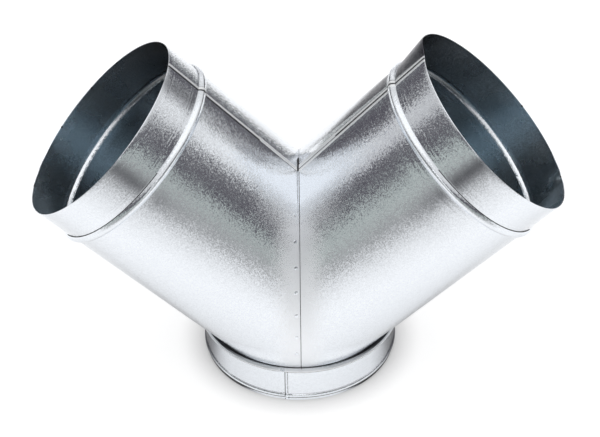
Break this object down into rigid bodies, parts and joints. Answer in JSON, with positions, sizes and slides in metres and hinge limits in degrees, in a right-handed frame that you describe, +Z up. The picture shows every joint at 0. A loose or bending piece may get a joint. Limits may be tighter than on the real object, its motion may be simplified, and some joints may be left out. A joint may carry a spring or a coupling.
{
  "type": "duct y branch",
  "caption": "Round sheet-metal duct branch: mitred legs at a right angle on an upright collar, with plain spigots and stop beads for joining round ducts.",
  "frame": {"origin": "centre of the collar's bottom rim, on the plane that the branch stands on", "axes": "+Z up the collar's axis, +X towards the right leg as seen from the collar seam's side, +Y away from that side"},
  "size_m": [0.5148, 0.2058, 0.3373],
  "materials": {
    "galvanised_sheet": "bright zinc coat with a fine spangle"
  },
  "bodies": {
    "root": {"left_leg": "galvanised_sheet", "right_leg": "galvanised_sheet", "base_collar": "galvanised_sheet"}
  },
  "joints": []
}
